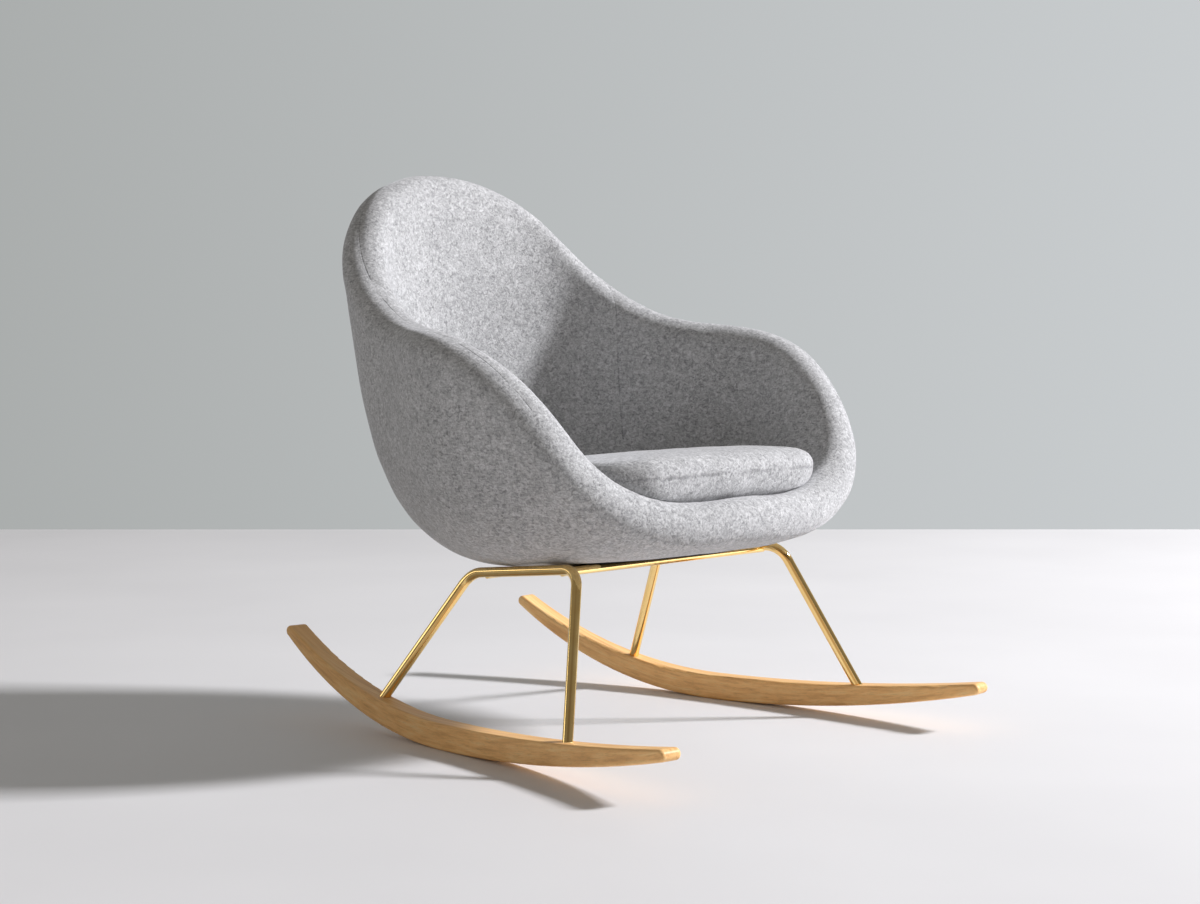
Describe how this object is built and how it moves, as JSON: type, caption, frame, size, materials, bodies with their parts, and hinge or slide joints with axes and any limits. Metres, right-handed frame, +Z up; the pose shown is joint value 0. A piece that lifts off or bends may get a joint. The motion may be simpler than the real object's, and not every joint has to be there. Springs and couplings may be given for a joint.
{
  "type": "upholstered rocking chair",
  "caption": "Felt-covered bucket armchair with a loose seat cushion, on a bent brass rod base with curved wooden rockers. The chair rocks on the floor and the cushion lifts out.",
  "frame": {"origin": "on the floor, under the middle of the chair's overall length and width", "axes": "+Z up, -Y the way the chair faces, +X the sitter's left"},
  "size_m": [0.8018, 0.9374, 0.8931],
  "materials": {
    "felt": "brushed melange felt",
    "foam": "open cell foam",
    "hard_shell": "moulded",
    "plywood": "sanded plywood",
    "dust_cloth": "thin woven cloth",
    "oak": "oiled",
    "brass": "polished",
    "steel": "zinc plated",
    "zip_tape": "woven tape"
  },
  "bodies": {
    "chair": {"shell_core": "hard_shell", "outer_foam": "foam", "inner_foam": "foam", "outer_cover": "felt", "inner_cover": "felt", "base_block": "plywood", "dust_cover": "dust_cloth", "core_screws": "steel", "tee_nuts": "steel", "frame_bolts": "steel", "frame_washers": "steel", "left_rocker": "oak", "right_rocker": "oak", "rocker_screws": "steel", "rocker_plugs": "oak", "left_side_frame": "brass", "right_side_frame": "brass", "front_crossbar": "brass", "rear_crossbar": "brass", "left_front_tab": "brass", "left_rear_tab": "brass", "right_front_tab": "brass", "right_rear_tab": "brass"},
    "cushion": {"cushion_foam": "foam", "cushion_bottom_cover": "felt", "cushion_top_cover": "felt", "cushion_zip": "zip_tape", "cushion_zip_slider": "steel"}
  },
  "joints": [
    {"name": "cushion_lift", "type": "slide", "parent": "chair", "child": "cushion", "axis": [0, 0, 1], "range_m": [0, 0.3]}
  ]
}
